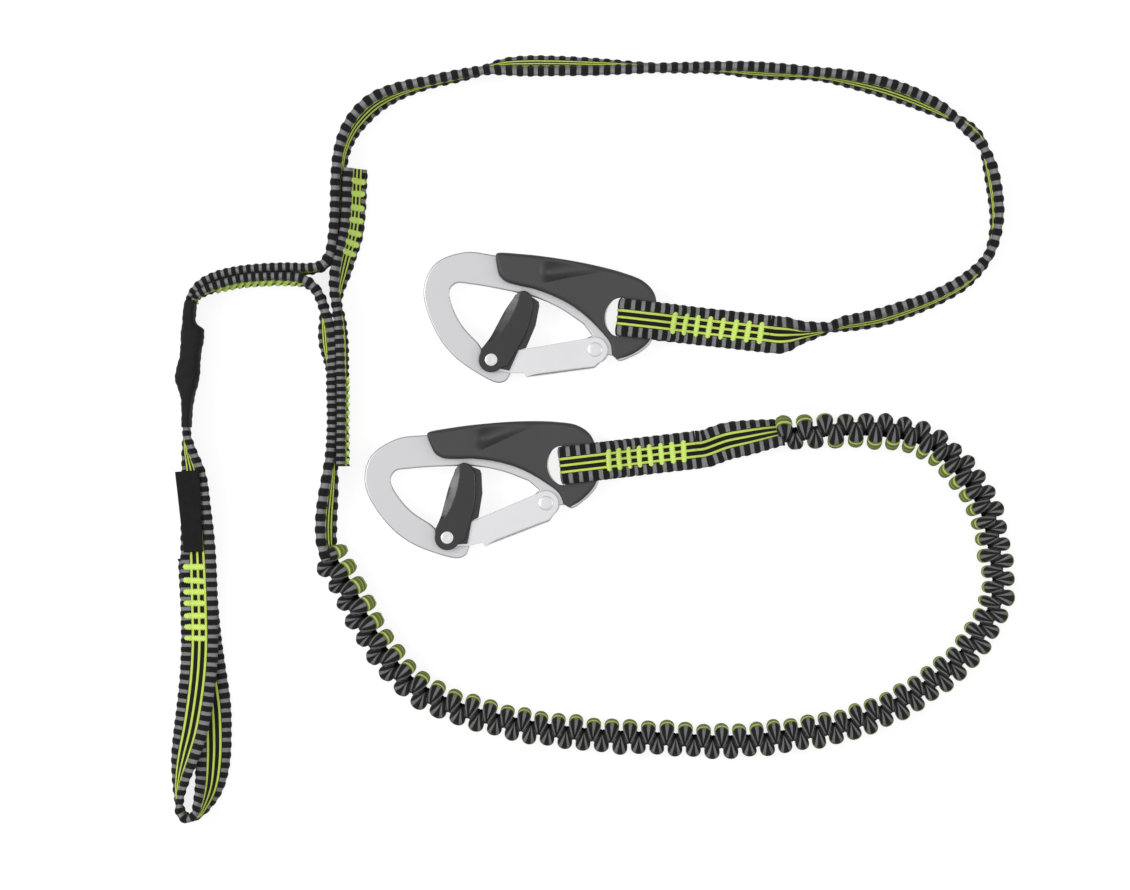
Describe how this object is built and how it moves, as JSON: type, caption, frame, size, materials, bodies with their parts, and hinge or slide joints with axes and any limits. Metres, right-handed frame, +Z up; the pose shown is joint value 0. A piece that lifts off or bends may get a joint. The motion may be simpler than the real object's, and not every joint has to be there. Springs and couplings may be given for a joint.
{
  "type": "safety tether",
  "caption": "Sailing safety tether: locking hooks on a long line and an elastic curly line, a short line and a sewn harness loop.",
  "frame": {"origin": "on the surface that the tether lies on, under the middle of the hooks and sewn webbing, free lines left out", "axes": "+Z up from the surface, +X to the right and +Y to the top as the tether is laid out, along the harness loop"},
  "size_m": [0.4447, 0.3939, 0.0211],
  "materials": {
    "forged_steel": "satin, tumbled",
    "gate_steel": "satin, pressed sheet",
    "rivet_steel": "satin",
    "spring_steel": "drawn wire",
    "cover_plastic": "fine moulded grain",
    "lever_plastic": "fine moulded grain, slight gloss",
    "striped_webbing": "woven black tape with grey block pattern and lime lines",
    "elastic_webbing": "woven elastic tape, same pattern, drawn into curls",
    "sleeve_fabric": "matt black sewn cloth",
    "label_fabric": "bare black tape"
  },
  "bodies": {
    "tether": {"hook_1_frame": "forged_steel", "hook_1_cover": "cover_plastic", "hook_1_gate_rivet": "rivet_steel", "hook_1_eye": "striped_webbing", "hook_2_frame": "forged_steel", "hook_2_cover": "cover_plastic", "hook_2_gate_rivet": "rivet_steel", "hook_2_eye": "striped_webbing", "long_line": "striped_webbing", "short_line": "striped_webbing", "bridge_strap": "striped_webbing", "harness_loop": "striped_webbing", "curly_lead": "striped_webbing", "curly_line": "elastic_webbing", "join_sleeve": "sleeve_fabric", "label": "label_fabric"},
    "hook_1_gate_body": {"hook_1_gate": "gate_steel", "hook_1_gate_spring": "spring_steel", "hook_1_lever_pin": "rivet_steel"},
    "hook_1_lever_body": {"hook_1_lever": "lever_plastic", "hook_1_lever_spring": "spring_steel"},
    "hook_2_gate_body": {"hook_2_gate": "gate_steel", "hook_2_gate_spring": "spring_steel", "hook_2_lever_pin": "rivet_steel"},
    "hook_2_lever_body": {"hook_2_lever": "lever_plastic", "hook_2_lever_spring": "spring_steel"}
  },
  "joints": [
    {"name": "hook_1_gate_swing", "type": "hinge", "parent": "tether", "child": "hook_1_gate_body", "pos_m": [0.0655, 0.0745, 0.008], "axis": [0, 0, 1], "range_deg": [-16, 0], "stiffness_Nm_per_rad": 0.15},
    {"name": "hook_1_lever_fold", "type": "hinge", "parent": "hook_1_gate_body", "child": "hook_1_lever_body", "pos_m": [0.0117, 0.0692, 0.008], "axis": [0, 0, 1], "range_deg": [-50, 0], "stiffness_Nm_per_rad": 0.2},
    {"name": "hook_2_gate_swing", "type": "hinge", "parent": "tether", "child": "hook_2_gate_body", "pos_m": [0.04, -0.005, 0.008], "axis": [0, 0, 1], "range_deg": [-16, 0], "stiffness_Nm_per_rad": 0.15},
    {"name": "hook_2_lever_fold", "type": "hinge", "parent": "hook_2_gate_body", "child": "hook_2_lever_body", "pos_m": [-0.01104, -0.0228, 0.008], "axis": [0, 0, 1], "range_deg": [-50, 0], "stiffness_Nm_per_rad": 0.2}
  ],
  "couplings": [
    {"joint": "hook_1_gate_swing", "follows": "hook_1_lever_fold", "ratio": 0.3},
    {"joint": "hook_2_gate_swing", "follows": "hook_2_lever_fold", "ratio": 0.3}
  ]
}
